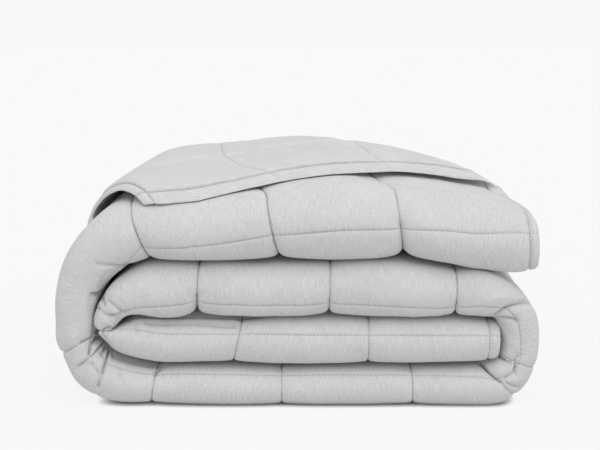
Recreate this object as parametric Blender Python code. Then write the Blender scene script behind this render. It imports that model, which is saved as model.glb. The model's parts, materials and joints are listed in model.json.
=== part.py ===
"""Linen box-stitched quilt, quartered to a strip, rolled up and laid flat with one corner turned over.

Metres, +Z up. The origin is on the resting plane, under the middle of the folded quilt.
+X runs along the folded strip, -Y is the side with the closed, rounded front folds.

The cloth is ONE filled slab. Every vertex starts on the flat quilt at (s, w):
  s  runs from the buried hem end of the strip to the top hem end
  w  runs from one long hem to the other
and is then put in place by three steps, in this order:
  1. turned over the diagonal roll, when it lies on the corner flap of the outer ply
  2. placed in the four-ply section of the strip (w gives the depth y and the height in the strip)
  3. placed on the spiral of the strip (s gives the rung from the strip's inner to its outer side)
"""

import math

import bmesh
import bpy

# ---- the flat quilt -------------------------------------------------------------------------
HEM = 0.013            # width of the sewn hem band on all four sides
BOX = 0.150            # pitch of the square box stitching
BOXES = 15             # boxes along each side
SIDE = 2 * HEM + BOXES * BOX   # full side of the square quilt

# ---- the four plies of the strip ------------------------------------------------------------
PLY_GAP = 0.0008       # free space on each side of a ply inside the strip
SEAM_LOFT = 0.42       # thickness left at a stitch line, as a share of the full loft
HEM_LOFT = 0.34        # thickness of the hem band, as a share of the full loft
LOFT_POWER = 0.55      # how quickly a box rises from its stitch lines
CRUSH = 0.55           # thickness left where an inner ply turns, as a share of its loft
CRUSH_RUN = 0.045      # distance over which the loft comes back
FRONT_TURN_W = 0.595   # w at the middle of the outer front turn
BACK_TURN_W = 1.154    # w at the middle of the back turn
INNER_TURN_W = 1.705   # w at the middle of the inner front turn
FRONT_Y = -0.2885      # depth of the outer ply's centre line at the front turn
OUTER_REACH = 0.50     # half depth of the outer front turn, as a share of the strip thickness
INNER_SET = 0.31       # how far the inner front turn stays behind it, same share
INNER_REACH = 0.17     # half depth of the inner turns, same share
CROWN = 0.020          # extra height at mid depth, as a share of the height
CROWN_HALF = 0.270     # half depth over which the crown falls away
CENTRE_X = 0.0048      # moves the middle of the folded quilt onto the origin
CENTRE_Y = -0.0042

# height of each ply's centre line in the strip, 0 = inner side, 1 = outer side
LEVEL_TOP = 0.875      # ply that ends in the long hem, on the outer side
LEVEL_SECOND = 0.625
LEVEL_THIRD = 0.375
LEVEL_BOTTOM = 0.125   # ply on the inner side

# ---- the turned-over corner -----------------------------------------------------------------
ROLL_W = 0.480         # w where the diagonal roll meets the end hem
ROLL_NORMAL_S = 0.620  # direction square to the roll on the flat quilt, s part
ROLL_NORMAL_W = -0.7846   # and its w part
ROLL_ARC = 0.044       # width of cloth used up by the roll
ROLL_STEPS = 6         # facets across the roll
ROLL_CRUSH = 0.35      # how much thinner the cloth is squeezed in mid roll
FLAP_HALF = 0.0075     # half thickness of the corner flap
FLAP_GAP = 0.0040      # free space under the flap
SLIDE = 0.030          # how far the top ply is drawn along by the flap
SLIDE_W_START, SLIDE_W_RUN = 0.565, 0.090
SLIDE_S_START, SLIDE_S_RUN = 1.750, 0.250
FAN = 0.035            # how far the flap's free long hem swings outward
FAN_W, FAN_S = 0.163, 0.150

# ---- the spiral of the strip, seen from the front (mm) --------------------------------------
# One row per rung: s on the quilt, then the strip's inner side and its outer side as x, z.
RUNG_COLUMNS = ("s", "inner_x", "inner_z", "outer_x", "outer_z")
RUNGS = (
    # second layer from below, hem end at the right, outer side facing down
    (0, 233, 101, 231, 55),
    (13, 220, 103, 219, 53),
    (88, 150, 104, 148, 52),
    (163, 80, 104, 79, 52),
    (238, 8, 104, 2, 52),
    (313, -67, 105, -79, 53),
    (388, -138, 106, -152, 54),
    # small fold at the left, up to the third layer
    (410, -160, 106, -178, 56),
    (430, -179, 105, -206, 63),
    (447, -192, 104, -228, 78),
    (463, -199, 106, -239, 97),
    (483, -195, 110, -235, 120),
    (503, -186, 112, -221, 142),
    (523, -174, 113, -201, 159),
    (548, -160, 112, -176, 168),
    # third layer, outer side facing up
    (580, -142, 110, -146, 170),
    (613, -121, 109, -118, 170),
    (688, -43, 108, -41, 169),
    (763, 33, 109, 35, 171),
    (838, 107, 108, 109, 170),
    (913, 181, 108, 183, 164),
    # fold at the right, down around the end of the second layer
    (945, 206, 108, 214, 162),
    (970, 222, 107, 240, 154),
    (995, 233, 103, 260, 139),
    (1020, 240, 95, 275, 114),
    (1043, 243, 83, 281, 81),
    (1063, 241, 68, 276, 50),
    (1083, 235, 57, 263, 26),
    (1105, 224, 50, 244, 8),
    (1130, 208, 47, 221, -3),
    (1160, 183, 46, 190, -6),
    # bottom layer, outer side facing down
    (1213, 130, 46, 132, -6),
    (1288, 55, 45, 57, -6),
    (1363, -22, 45, -22, -6),
    (1438, -92, 46, -98, -6),
    (1513, -164, 48, -173, -6),
    # large fold at the left, up to the top layer
    (1545, -194, 52, -207, 0),
    (1575, -218, 60, -237, 10),
    (1600, -233, 70, -259, 29),
    (1625, -242, 82, -275, 54),
    (1645, -246, 94, -284, 79),
    (1663, -247, 106, -287, 104),
    (1683, -244, 119, -285, 129),
    (1703, -238, 132, -279, 154),
    (1723, -229, 145, -269, 178),
    (1745, -218, 157, -253, 201),
    (1770, -203, 168, -231, 222),
    (1790, -191, 173, -212, 235),
    (1813, -174, 176, -192, 245),
    # top layer, outer side facing up, hem end at the right
    (1888, -100, 175, -115, 258),
    (1963, -23, 177, -41, 264),
    (2038, 48, 177, 37, 268),
    (2113, 121, 180, 104, 267),
    (2165, 170, 176, 158, 262),
    (2200, 204, 170, 196, 254),
    (2230, 235, 166, 228, 242),
    (2250, 254, 166, 250, 229),
    (2263, 266, 168, 264, 216),
    (2276, 276, 172, 272, 204),
)
MM = 0.001

# ---- finish ---------------------------------------------------------------------------------
LINEN_COLOUR = (0.66, 0.665, 0.665, 1.0)
LINEN_ROUGHNESS = 0.9

# ---- facets ---------------------------------------------------------------------------------
BOX_STEPS = 2          # facets across a box lying flat
FOLD_STEPS = 4         # facets across a box that goes round a fold of the spiral
FOLD_BOXES = (2, 3, 6, 7, 10, 11)      # boxes along s that go round a fold
# extra w stations, as distances from each turn of the section
FRONT_TURN_FACETS = (-0.056, -0.036, -0.018, 0.0, 0.036, 0.056)
BACK_TURN_FACETS = (-0.020, -0.009, 0.0, 0.009, 0.020)
INNER_TURN_FACETS = (-0.020, -0.009, 0.0, 0.009, 0.020)
NEAR_TURN = 0.008      # a line inside a box gives way to a turn's line this close
NEAREST = 0.004        # no two lines lie closer than this
CUT_TOLERANCE = 1e-6


def ease(value):
    """Smooth step from 0 to 1."""
    value = min(max(value, 0.0), 1.0)
    return value * value * (3.0 - 2.0 * value)


def rung(s):
    """Inner and outer point (x, z) of the strip at s, by a smooth curve through RUNGS."""
    rows = RUNGS
    key = min(max(s / MM, rows[0][0]), rows[-1][0])
    after = 1
    while rows[after][0] < key and after < len(rows) - 1:
        after += 1
    here, there = rows[after - 1], rows[after]
    before = rows[max(after - 2, 0)]
    beyond = rows[min(after + 1, len(rows) - 1)]
    span = there[0] - here[0]
    f = (key - here[0]) / span
    values = []
    for column in range(1, len(RUNG_COLUMNS)):
        slope_here = (there[column] - before[column]) / (there[0] - before[0])
        slope_there = (beyond[column] - here[column]) / (beyond[0] - here[0])
        values.append((
            (2 * f**3 - 3 * f**2 + 1) * here[column]
            + (f**3 - 2 * f**2 + f) * span * slope_here
            + (-2 * f**3 + 3 * f**2) * there[column]
            + (f**3 - f**2) * span * slope_there) * MM)
    return values


def strip_thickness(s):
    """Distance from the strip's inner side to its outer side at s."""
    inner_x, inner_z, outer_x, outer_z = rung(s)
    return math.hypot(outer_x - inner_x, outer_z - inner_z)


def quarter_arc(half_depth, half_height):
    """Length of a quarter of an ellipse, near enough for a cloth turn."""
    return math.pi / 2 * math.sqrt((half_depth**2 + half_height**2) / 2)


def turn(fraction, centre_y, reach, low, high):
    """Point and direction on a half ellipse; reach < 0 bulges to the front, > 0 to the back."""
    angle = math.pi * fraction
    middle, half = (low + high) / 2, (low - high) / 2
    y = centre_y + reach * math.sin(angle)
    h = middle - half * math.cos(angle)
    dy, dh = reach * math.cos(angle), half * math.sin(angle)
    size = math.hypot(dy, dh)
    return y, h, dy / size, dh / size


def section(w, thick):
    """Centre line of the plies: depth y, height h, unit direction, at w for a strip this thick."""
    top, second = LEVEL_TOP * thick, LEVEL_SECOND * thick
    third, bottom = LEVEL_THIRD * thick, LEVEL_BOTTOM * thick
    outer_reach = OUTER_REACH * thick
    inner_reach = INNER_REACH * thick
    outer_arc = quarter_arc(outer_reach, (top - bottom) / 2)
    inner_arc = quarter_arc(inner_reach, (second - third) / 2)
    front_y = FRONT_Y + outer_reach
    inner_y = FRONT_Y + INNER_SET * thick + inner_reach
    back_y = front_y + (BACK_TURN_W - inner_arc) - (FRONT_TURN_W + outer_arc)
    if w < FRONT_TURN_W - outer_arc:
        return front_y + FRONT_TURN_W - outer_arc - w, top, -1.0, 0.0
    if w < FRONT_TURN_W + outer_arc:
        fraction = (w - FRONT_TURN_W + outer_arc) / (2 * outer_arc)
        return turn(fraction, front_y, -outer_reach, bottom, top)
    if w < BACK_TURN_W - inner_arc:
        return front_y + w - FRONT_TURN_W - outer_arc, bottom, 1.0, 0.0
    if w < BACK_TURN_W + inner_arc:
        fraction = (w - BACK_TURN_W + inner_arc) / (2 * inner_arc)
        return turn(fraction, back_y, inner_reach, third, bottom)
    if w < INNER_TURN_W - inner_arc:
        share = (w - BACK_TURN_W - inner_arc) / (INNER_TURN_W - BACK_TURN_W - 2 * inner_arc)
        return back_y + share * (inner_y - back_y), third, -1.0, 0.0
    if w < INNER_TURN_W + inner_arc:
        fraction = (w - INNER_TURN_W + inner_arc) / (2 * inner_arc)
        return turn(fraction, inner_y, -inner_reach, second, third)
    return inner_y + w - INNER_TURN_W - inner_arc, second, 1.0, 0.0


def box_rise(distance):
    """Loft along one direction: low on the stitch lines and in the hem, high in mid box."""
    if distance <= HEM or distance >= SIDE - HEM:
        return HEM_LOFT
    across = ((distance - HEM) / BOX) % 1.0
    return SEAM_LOFT + (1 - SEAM_LOFT) * abs(math.sin(math.pi * across)) ** LOFT_POWER


def loft(s, w):
    """Share of the full thickness that the filling takes at (s, w)."""
    return min(box_rise(s), box_rise(w))


def crushed(w):
    """Share of the loft left near the two inner turns."""
    near = min(abs(w - BACK_TURN_W), abs(w - INNER_TURN_W))
    return CRUSH + (1 - CRUSH) * ease(near / CRUSH_RUN)


def past_roll(s, w):
    """Distance past the diagonal roll line, positive on the corner flap."""
    if w > FRONT_TURN_W:
        return -1.0
    return (s - SIDE) * ROLL_NORMAL_S + (w - ROLL_W) * ROLL_NORMAL_W


def place(s, w, face):
    """Point in space of the quilt's face (+1 right side, -1 wrong side) at (s, w)."""
    thick = strip_thickness(s)
    half = (thick / 4 - 2 * PLY_GAP) / 2 * loft(s, w) * crushed(w)
    lift, cosine, sine = 0.0, 1.0, 0.0
    past = past_roll(s, w)
    if past > 0:
        angle = math.pi * min(past / ROLL_ARC, 1.0)
        share = ease(past / ROLL_ARC)
        half = half * (1 - share) + FLAP_HALF * loft(s, w) * share
        half *= 1 - ROLL_CRUSH * math.sin(angle)
        radius = ROLL_ARC / math.pi
        shift = radius * math.sin(angle) - max(past - ROLL_ARC, 0.0) - past
        side_w = ease((FAN_W - w) / FAN_S) * ease((SIDE - s) / FAN_S)
        s = s + shift * ROLL_NORMAL_S - FAN * side_w * ease((past - ROLL_ARC) / FAN_S)
        w = w + shift * ROLL_NORMAL_W
        thick = strip_thickness(s)
        rise = (1 - LEVEL_TOP) * thick + FLAP_HALF + FLAP_GAP
        lift = rise * (1 - math.cos(angle)) / 2
        cosine, sine = math.cos(angle), math.sin(angle)
    if w < FRONT_TURN_W:
        s -= (SLIDE * ease((SLIDE_W_START - w) / SLIDE_W_RUN)
              * ease((s - SLIDE_S_START) / SLIDE_S_RUN))
    s -= half * face * sine * ROLL_NORMAL_S
    w -= half * face * sine * ROLL_NORMAL_W
    thick = strip_thickness(s)
    y, h, dy, dh = section(w, thick)
    out = lift + half * face * cosine
    y += out * dh
    h -= out * dy
    inner_x, inner_z, outer_x, outer_z = rung(s)
    share = h / thick
    x = inner_x + (outer_x - inner_x) * share
    z = inner_z + (outer_z - inner_z) * share
    z *= 1 + CROWN * (1 - (y / CROWN_HALF) ** 2)
    return x + CENTRE_X, y + CENTRE_Y, max(z, 0.0)


def stations(fold_boxes, extra):
    """Grid lines on the flat quilt: hems, stitch lines, steps inside boxes, and the extras."""
    lines = [0.0]
    for box in range(BOXES):
        steps = FOLD_STEPS if box in fold_boxes else BOX_STEPS
        lines += [HEM + BOX * (box + step / steps) for step in range(steps)]
    lines += [SIDE - HEM, SIDE]
    kept = [line for line in lines if all(abs(line - other) > NEAR_TURN for other in extra)]
    result = []
    for line in sorted(kept + list(extra)):
        if not result or line - result[-1] > NEAREST:
            result.append(line)
    return result


def linen():
    """Undyed pale grey linen."""
    material = bpy.data.materials.new("linen")
    material.use_nodes = True
    shader = material.node_tree.nodes["Principled BSDF"]
    shader.inputs["Base Color"].default_value = LINEN_COLOUR
    shader.inputs["Roughness"].default_value = LINEN_ROUGHNESS
    shader.inputs["Metallic"].default_value = 0.0
    return material


def cut(slab, point, normal):
    """Cut the flat slab along a plane, so that it can bend there."""
    bmesh.ops.bisect_plane(slab, geom=slab.verts[:] + slab.edges[:] + slab.faces[:],
                           dist=CUT_TOLERANCE, plane_co=point, plane_no=normal)


def build_quilt():
    """The folded quilt: a flat slab, cut on its stitch lines, turns and roll, then placed."""
    turns = [FRONT_TURN_W + step for step in FRONT_TURN_FACETS]
    turns += [BACK_TURN_W + step for step in BACK_TURN_FACETS]
    turns += [INNER_TURN_W + step for step in INNER_TURN_FACETS]
    slab = bmesh.new()
    bmesh.ops.create_cube(slab, size=2.0)
    for vertex in slab.verts:
        vertex.co = (SIDE * (vertex.co.x + 1) / 2, SIDE * (vertex.co.y + 1) / 2, vertex.co.z)
    for s in stations(FOLD_BOXES, ())[1:-1]:
        cut(slab, (s, 0, 0), (1, 0, 0))
    for w in stations((), turns)[1:-1]:
        cut(slab, (0, w, 0), (0, 1, 0))
    for step in range(ROLL_STEPS + 1):
        past = ROLL_ARC * step / ROLL_STEPS
        point = (SIDE + past * ROLL_NORMAL_S, ROLL_W + past * ROLL_NORMAL_W, 0)
        cut(slab, point, (ROLL_NORMAL_S, ROLL_NORMAL_W, 0))
    bmesh.ops.triangulate(slab, faces=slab.faces[:])
    for vertex in slab.verts:
        vertex.co = place(vertex.co.x, vertex.co.y, round(vertex.co.z))
    bmesh.ops.reverse_faces(slab, faces=slab.faces[:])
    mesh = bpy.data.meshes.new("quilt")
    slab.to_mesh(mesh)
    slab.free()
    mesh.materials.append(linen())
    mesh.shade_smooth()
    return bpy.data.objects.new("quilt", mesh)


def main():
    for old in list(bpy.data.objects):
        bpy.data.objects.remove(old, do_unlink=True)
    folder = bpy.data.collections.new("folded_quilt")
    bpy.context.scene.collection.children.link(folder)
    folder.objects.link(build_quilt())


main()
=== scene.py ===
"""Folded linen quilt: the looks of the box-stitched cloth, its stitching and a plain studio.

The quilt is a flat square with s along one side and w along the other. place() takes each point of it
over the roll of the turned-over corner, into the section of the four-ply strip and onto its spiral.
"""

import json
import math

import bpy
import numpy as np
from bpy.props import FloatProperty, PointerProperty, StringProperty
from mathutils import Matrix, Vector

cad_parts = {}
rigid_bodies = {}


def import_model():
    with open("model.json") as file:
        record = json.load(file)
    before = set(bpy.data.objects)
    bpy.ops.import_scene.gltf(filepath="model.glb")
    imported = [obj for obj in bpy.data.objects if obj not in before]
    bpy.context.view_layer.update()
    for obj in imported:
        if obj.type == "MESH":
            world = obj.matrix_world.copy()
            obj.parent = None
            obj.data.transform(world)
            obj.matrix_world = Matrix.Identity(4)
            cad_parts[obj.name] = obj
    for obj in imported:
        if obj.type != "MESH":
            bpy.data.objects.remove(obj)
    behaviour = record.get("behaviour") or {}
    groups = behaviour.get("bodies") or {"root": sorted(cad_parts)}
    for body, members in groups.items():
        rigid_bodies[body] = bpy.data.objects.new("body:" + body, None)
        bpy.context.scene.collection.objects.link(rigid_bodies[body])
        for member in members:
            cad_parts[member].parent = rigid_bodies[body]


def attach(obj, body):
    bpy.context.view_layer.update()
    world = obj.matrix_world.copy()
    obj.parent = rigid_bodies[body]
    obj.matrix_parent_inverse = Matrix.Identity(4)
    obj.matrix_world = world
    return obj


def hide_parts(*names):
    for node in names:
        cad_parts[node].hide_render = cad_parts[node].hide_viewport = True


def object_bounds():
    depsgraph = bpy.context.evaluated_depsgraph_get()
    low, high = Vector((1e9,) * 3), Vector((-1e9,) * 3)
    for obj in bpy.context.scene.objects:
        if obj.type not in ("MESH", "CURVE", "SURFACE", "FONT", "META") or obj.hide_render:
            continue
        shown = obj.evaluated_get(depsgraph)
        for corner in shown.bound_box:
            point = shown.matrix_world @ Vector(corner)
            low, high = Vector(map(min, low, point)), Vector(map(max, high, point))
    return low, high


bl_info = {
    "name": "Folded linen quilt",
    "version": (1, 0, 0),
    "blender": (4, 5, 0),
    "location": "3D View > Sidebar > Quilt",
    "description": "Builds a folded, box-stitched linen quilt on a plain studio floor",
    "category": "Object",
}

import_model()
CAD_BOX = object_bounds()
MM = 0.001
# lengths are in metres where no comment says mm

# ---- the section of the strip: plies between its inner side (level 0) and its outer side (level 1) ----
PLIES = 4
LEVEL_TOP, LEVEL_SECOND, LEVEL_THIRD, LEVEL_BOTTOM = 0.875, 0.625, 0.375, 0.125
# the middle of the outer turn at the front, of the turn at the back and of the inner turn at the front
FRONT_TURN_W, BACK_TURN_W, INNER_TURN_W = 0.595, 1.154, 1.705
FRONT_Y = -0.2885                        # the foremost point of the outer turn's centre line
# shares of the thickness: how far the inner turn stands behind the outer one, and the small turns' depth
INNER_SET, INNER_REACH = 0.31, 0.17
CRUSH, CRUSH_RUN = 0.55, 0.045           # the small turns are pressed to this share, over this length

# ---- the folded form as a whole ----
CENTRE_X, CENTRE_Y = 0.0048, -0.0042     # brings the quilt to the middle of the frame
TAPER, TAPER_X, TAPER_Y = 0.12, -0.050, -0.280    # the left folds draw in towards the back
CROWN, CROWN_HALF = 0.110, 0.270         # the middle is fuller than the front and the back
CROWN_START, CROWN_RUN = -0.270, 0.140   # stretch of x over which the crown comes in
# the crown leaves out most of the lower fold at the right
SHOULDER, SHOULDER_X, SHOULDER_RUN, SHOULDER_Z, SHOULDER_RISE = 0.8, 0.170, 0.060, 0.155, 0.050
# behind the front, the top layer is slid back along the strip
SLIDE, SLIDE_W_START, SLIDE_W_RUN, SLIDE_S_START, SLIDE_S_RUN = 0.030, 0.565, 0.090, 1.750, 0.250

# ---- the turned-over corner, a flap whose wrong side lies up ----
ROLL_W = 0.4876                            # where the roll line meets the hem end
ROLL_NORMAL = np.array((0.620, -0.7846))   # square to the roll line, towards the corner
ROLL_ARC, ROLL_CRUSH = 0.044, 0.35         # the cloth that the roll takes up, and how much it is pressed
# the stitching hardly shows where the cloth rolls over
ROLL_FULL, ROLL_REACH, ROLL_HEM_REACH = 0.80, 0.090, 0.040
FLAP_HALF, FLAP_GAP = 0.0055, 0.0012       # half the flap's thickness, and the gap under it
FLAP_REST = 0.85                           # share of the ply below that carries the flap over its seams
# shares of the flap's thickness: left at the hem stitching and at the other rows, and their narrow grooves
FLAP_HEM_FLOOR, FLAP_FLOOR = 0.46, 0.62
FLAP_HEM_GROOVE, FLAP_GROOVE = 0.46, 0.10
FLAP_GROOVE_REACH = 0.0015
FLAP_HEM_REACH = 0.030                     # length over which the hem's values change to the others
# how far the flap stands off: its left side, its two hems, and where it bridges the hollow below the crown
LEFT_LIFT, LEFT_LIFT_REACH = 0.008, 0.110
LEFT_LIFT_START, LEFT_LIFT_RISE, LEFT_LIFT_END, LEFT_LIFT_FALL = 0.006, 0.045, 0.45, 0.25
FRONT_HEM_LIFT, LEFT_HEM_LIFT, HEM_LIFT_REACH = 0.0045, 0.002, 0.050
BRIDGE_LIFT, BRIDGE_START, BRIDGE_RUN, BRIDGE_REACH = 0.0035, 0.240, 0.100, 0.060
# w and how far the flap's front edge hangs forward there (mm), which fades over a length along the strip
FLAP_HANG = np.array(((0, 0), (20, 8), (60, 15), (110, 12), (160, 7), (250, 11), (330, 16), (450, 14)))
FLAP_HANG_RUN = 0.200
# the flap fans out to the left, most at its left hem
FAN, FAN_W, FAN_EASE, FAN_REACH = 0.33, 0.313, 0.150, 0.400

# ---- the filling ----
SIDE_FOLDS = ((0.430, 0.540), (0.960, 1.125), (1.580, 1.780))    # stretches of s with close creases
SIDE_TIGHT, SIDE_TIGHT_FADE = 0.60, 1.4  # how tight the stitching across them is, and how fast that fades
FRONT_TIGHT_REACH = 0.075                # the cloth is tight this far along w from the front turn
# the hem: its fullness at the stitching and at the very edge, and the share of its width that is rounded
HEM_FLAT, HEM_EDGE, HEM_ROUND = 0.45, 0.08, 0.35
SEAM_GROOVE, SEAM_GROOVE_REACH = 0.0012, 0.0012
GATHER_PITCH, GATHER_LENGTH, GATHER_REACH = 9, 45, 16      # mm, small gathers square to the stitching
LUMPS, SMALL_LUMPS, SMALL_LUMP_SHARE = (62, 55), (27, 24), 0.45      # mm along s and w
# the gathers and lumps rise to full height this many times as fast as the filling does, and fade, down
# to a least share, where the ply's full half thickness is less than this
PUCKER_RISE, PUCKER_PLY, PUCKER_LEAST = 1.4, 0.006, 0.3
LEAST_HALF = 0.0002                      # half the thickness that the cloth never goes below
HASH_S, HASH_W, HASH_SEED, HASH_SPREAD = 127.1, 311.7, 74.7, 43758.5453    # scatter the noise's values

# ---- the spiral of the strip, seen from the front ----
# columns, in mm: s along the strip, x and z of its inner side, x and z of its outer side
RUNGS = np.array((
    # second layer from below, hem end at the right, outer side facing down
    (0, 233, 102, 231, 53),
    (13, 220, 104, 219, 51),
    (88, 150, 105, 148, 50),
    (163, 80, 105, 79, 50),
    (238, 8, 105, 2, 49),
    (313, -67, 106, -79, 51),
    (388, -140, 107, -151, 50),
    # small fold at the left, pinched low, up to the third layer
    (410, -168, 107, -175, 52),
    (430, -188, 106, -199, 57),
    (447, -206, 98, -220, 67),
    (463, -217, 91, -240, 91),
    (483, -213, 96, -239, 115),
    (503, -205, 104, -227, 137),
    (523, -191, 107, -209, 153),
    (548, -172, 103, -184, 165),
    # third layer, outer side facing up
    (580, -146, 102, -151, 169),
    (613, -121, 105, -118, 170),
    (688, -43, 104, -41, 169),
    (763, 33, 105, 35, 171),
    (838, 107, 104, 109, 170),
    (913, 180, 104, 181, 163),
    # fold at the right, down around the end of the second layer
    (943, 205, 104, 206, 162),
    (967, 219, 103, 229, 155),
    (990, 227, 101, 252, 140),
    (1014, 229, 95, 273, 118),
    (1036, 229, 84, 281, 89),
    (1055, 229, 68, 281, 55),
    (1075, 226, 57, 272, 29),
    (1098, 217, 51, 254, 8),
    (1125, 208, 48, 229, -2),
    (1157, 183, 47, 192, -3),
    # bottom layer, outer side facing down
    (1213, 130, 47, 132, -3),
    (1288, 55, 46, 57, -3),
    (1363, -22, 46, -22, -3),
    (1438, -92, 47, -98, -3),
    (1513, -168, 49, -176, -1),
    # large fold at the left, up to the top layer
    (1553, -194, 53, -211, 0),
    (1591, -218, 61, -240, 8),
    (1623, -230, 71, -264, 25),
    (1654, -237, 82, -278, 51),
    (1674, -239, 93, -288, 75),
    (1689, -240, 104, -288, 100),
    (1705, -238, 118, -288, 127),
    (1722, -232, 131, -283, 154),
    (1738, -224, 143, -274, 179),
    (1757, -214, 153, -259, 202),
    (1777, -200, 162, -240, 221),
    (1794, -188, 166, -222, 232),
    (1813, -172, 168, -200, 239),
    # top layer, outer side facing up, hem end at the right
    (1888, -100, 169, -118, 241),
    (1963, -23, 170, -41, 249),
    (2038, 50, 170, 40, 256),
    (2113, 121, 172, 110, 253),
    (2165, 170, 168, 162, 245),
    (2200, 203, 161, 196, 238),
    (2230, 233, 156, 228, 235),
    (2250, 252, 154, 249, 232),
    (2263, 264, 154, 263, 228),
    (2276, 275, 157, 274, 223),
)) * MM

# ---- the rounded front along the strip ----
# columns: s (mm), the powers by which the quarter turns on the outer and inner side bend, how far the
# cloth is slipped round the front towards the outer side (mm), and how flush the stitching along it
# lies (0 to 1)
FRONT = np.array((
    (0, 0.55, 2.50, 10, 0.35),
    (300, 0.55, 2.60, 8, 0.35),
    (400, 0.60, 2.40, 8, 0.35),
    (440, 0.75, 1.20, 5, 0.45),
    (463, 0.90, 1.00, 4, 0.50),
    (580, 1.50, 0.55, 8, 0.75),
    (700, 1.20, 0.55, 7, 0.75),
    (913, 0.90, 0.55, 5, 0.75),
    (960, 0.80, 0.90, 10, 0.70),
    (995, 0.85, 1.80, 16, 0.60),
    (1063, 1.00, 2.30, 19, 0.40),
    (1130, 0.80, 1.70, 4, 0.45),
    (1213, 1.20, 1.90, 1, 0.45),
    (1513, 1.20, 1.90, 1, 0.45),
    (1600, 0.80, 1.00, 0, 0.50),
    (1640, 0.90, 1.00, -12, 0.50),
    (1780, 1.60, 0.80, -12, 0.60),
    (1813, 1.80, 0.80, 5, 0.75),
    (1888, 1.80, 0.85, 11, 0.75),
    (1963, 2.00, 0.75, 17, 0.75),
    (2038, 2.20, 0.65, 20, 0.75),
    (2113, 2.50, 0.60, 20, 0.75),
    (2200, 2.10, 0.55, 27, 0.75),
    (2276, 0.80, 0.50, 37, 0.75),
))
SLIP_START, SLIP_END = 0.400, 0.850      # the cloth is slipped between these places of w

# ---- creases, from a start to an end; a negative depth is a ridge ----
# columns, in mm: s and w of the start, s and w of the end, depth, width
# s is on the cloth and w is the place across the front as it lies, after the cloth's slip
CREASES = (
    # large fold at the left: the deep tuck at its inner end and the lines running up from it
    (1608, 639, 1602, 617, 13, 2.5),
    (1602, 617, 1597, 600, 13, 2.5),
    (1597, 600, 1595, 584, 7, 2.2),
    (1595, 584, 1594, 568, 2, 2.2),
    (1629, 639, 1631, 610, 10, 2.4),
    (1631, 610, 1637, 588, 8, 2.2),
    (1670, 624, 1638, 605, 13, 2.6),
    (1660, 626, 1664, 602, 7, 2.2),
    (1664, 602, 1662, 559, 2, 2.2),
    (1634, 594, 1623, 602, 5, 1.8),
    (1623, 602, 1600, 598, 5, 1.8),
    (1652, 640, 1650, 616, 10, 6.5),
    (1619, 640, 1616, 619, 8, 6.0),
    (1674, 598, 1678, 579, -2, 5.0),
    (1722, 632, 1721, 613, 10, 2.4),
    (1756, 601, 1767, 613, 6, 2.2),
    (1767, 613, 1777, 631, 7, 2.4),
    (1757, 617, 1732, 619, 5, 5.0),
    (1718, 606, 1678, 610, -3, 4.0),
    # small fold at the left
    (497, 567, 496, 586, 8, 2.0),
    (501, 584, 506, 594, 6, 1.8),
    (506, 594, 511, 609, 6, 1.8),
    (487, 578, 489, 593, 5, 1.8),
    (489, 593, 497, 602, 6, 1.8),
    (497, 602, 516, 608, 6, 1.8),
    (463, 576, 463, 636, 5, 2.2),
    (476, 605, 452, 584, 8, 2.0),
    (482, 599, 478, 608, -3, 3.0),
    (500, 598, 505, 603, -3, 3.0),
    # fold at the right: under the last box of the third layer and beside the tucked end
    (1014, 559, 998, 586, 11, 2.2),
    (998, 586, 985, 600, 11, 2.4),
    (985, 600, 976, 614, 10, 2.4),
    (984, 616, 1000, 606, 8, 2.0),
    (1000, 606, 1016, 597, 8, 2.0),
    (981, 587, 957, 597, -3, 6.0),
    (1072, 642, 1067, 605, 9, 2.2),
    (1067, 605, 1055, 598, 6, 1.8),
    (1061, 600, 1078, 594, 8, 1.8),
    (1118, 633, 1106, 609, 14, 2.6),
    (1106, 609, 1100, 596, 12, 2.4),
    (1100, 596, 1097, 565, 5, 2.2),
    (1099, 596, 1090, 598, 6, 1.8),
    (1090, 598, 1078, 595, 6, 1.8),
    (1094, 596, 1087, 577, 5, 1.8),
    (1080, 618, 1087, 607, -1, 6.0),
    # the pull of the stitching across the front
    (613, 598, 613, 644, 8, 5.0),
    (763, 603, 763, 645, 5, 5.0),
    (913, 603, 913, 645, 5, 5.0),
    (2113, 588, 2113, 635, 9, 6.0),
    (1963, 595, 1963, 633, 4, 5.0),
    (1813, 585, 1813, 635, 4, 5.0),
    (2263, 525, 2263, 605, 2, 3.0),
    # broad valleys along the stitching of the turned-over corner, whose wrong side shows
    (2113, 0, 2113, 150, -5, 6.0),
    (2113, 175, 2113, 330, -5, 6.0),
    # the hollow that the turned-over corner bridges
    (2095, 506, 2125, 510, 4, 12.0),
    (2125, 510, 2240, 520, 7, 14.0),
    # the upper edges of the two lower layers sink back under the layers on them
    (418, 619, 372, 621, 8, 6.0),
    (372, 621, 324, 617, 9, 5.0),
    (425, 634, 300, 636, 9, 7.0),
    (1518, 632, 1590, 630, 9, 8.0),
    # puckers along the lengthwise stitching of the two lower layers
    (1528, 603, 1529, 618, 5, 2.0),
    (1537, 602, 1536, 613, 5, 2.0),
    (1567, 601, 1570, 613, 5, 2.0),
    (1513, 614, 1508, 628, 8, 4.0),
    (428, 602, 432, 617, 5, 2.5),
    (414, 600, 409, 615, 4, 3.0),
    (396, 597, 386, 618, 4, 4.0),
    (374, 596, 366, 616, 4, 4.0),
    (340, 596, 335, 614, 3, 4.0),
    (355, 596, 352, 610, 3, 3.0),
)
# each crease is a broad dent with a narrow one in it: shares of the width, share of the depth, and reach
CREASE_BROAD, CREASE_NARROW, CREASE_BROAD_SHARE, CREASE_REACH = 2.0, 0.6, 0.4, 9

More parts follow.
